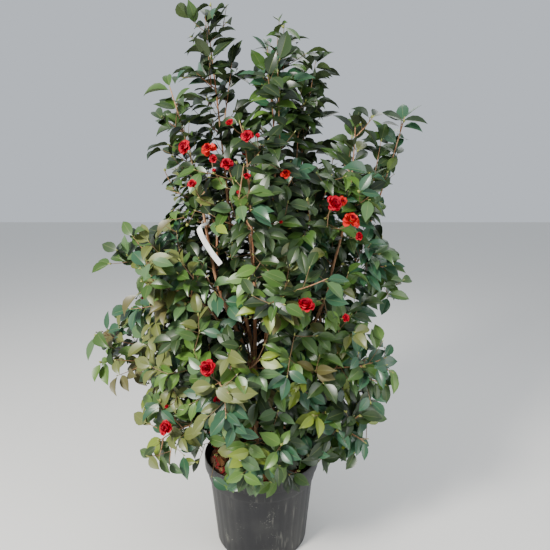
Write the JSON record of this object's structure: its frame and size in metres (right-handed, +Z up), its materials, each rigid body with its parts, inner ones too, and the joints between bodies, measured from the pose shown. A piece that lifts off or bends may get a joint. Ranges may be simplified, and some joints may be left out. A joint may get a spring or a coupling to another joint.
{
  "type": "potted camellia shrub",
  "caption": "Upright evergreen camellia with several stems, glossy leaves and red double flowers, growing in a round black nursery pot.",
  "frame": {"origin": "middle of the pot's flat underside, on the surface that it stands on", "axes": "+Z up, front towards -Y, +X to the right as seen from the front"},
  "size_m": [1.3541, 1.058, 2.1958],
  "materials": {
    "pot": "matt moulded plastic, dusty",
    "soil": "bark compost with dry leaf litter",
    "bark": "smooth tan to reddish brown bark",
    "leaves": "glossy leather-like leaves",
    "blooms": "soft satin petals",
    "strip": "blank white plastic band"
  },
  "bodies": {
    "root": {"pot": "pot", "soil": "soil", "trunk": "bark", "name_strip": "strip", "stem_far_right": "bark", "stem_back": "bark", "stem_left": "bark", "stem_far_left": "bark", "stem_front": "bark", "stem_middle": "bark", "stem_right": "bark", "skirt_bough_1": "bark", "skirt_bough_2": "bark", "skirt_bough_3": "bark", "skirt_bough_4": "bark", "skirt_bough_5": "bark", "skirt_bough_6": "bark", "lower_bough_1": "bark", "lower_bough_2": "bark", "lower_bough_3": "bark", "lower_bough_4": "bark", "lower_bough_5": "bark", "middle_bough_1": "bark", "middle_bough_2": "bark", "middle_bough_3": "bark", "middle_bough_4": "bark", "middle_bough_5": "bark", "upper_bough_1": "bark", "upper_bough_2": "bark", "upper_bough_3": "bark", "upper_bough_4": "bark", "top_far_right": "leaves", "top_back": "leaves", "top_left": "leaves", "top_far_left": "leaves", "top_front": "leaves", "top_middle": "leaves", "top_right": "leaves", "skirt_leaves_1": "leaves", "skirt_leaves_2": "leaves", "skirt_leaves_3": "leaves", "skirt_leaves_4": "leaves", "skirt_leaves_5": "leaves", "skirt_leaves_6": "leaves", "lower_leaves_1": "leaves", "lower_leaves_2": "leaves", "lower_leaves_3": "leaves", "lower_leaves_4": "leaves", "lower_leaves_5": "leaves", "middle_leaves_1": "leaves", "middle_leaves_2": "leaves", "middle_leaves_3": "leaves", "middle_leaves_4": "leaves", "middle_leaves_5": "leaves", "upper_leaves_1": "leaves", "upper_leaves_2": "leaves", "upper_leaves_3": "leaves", "upper_leaves_4": "leaves"}
  },
  "joints": []
}
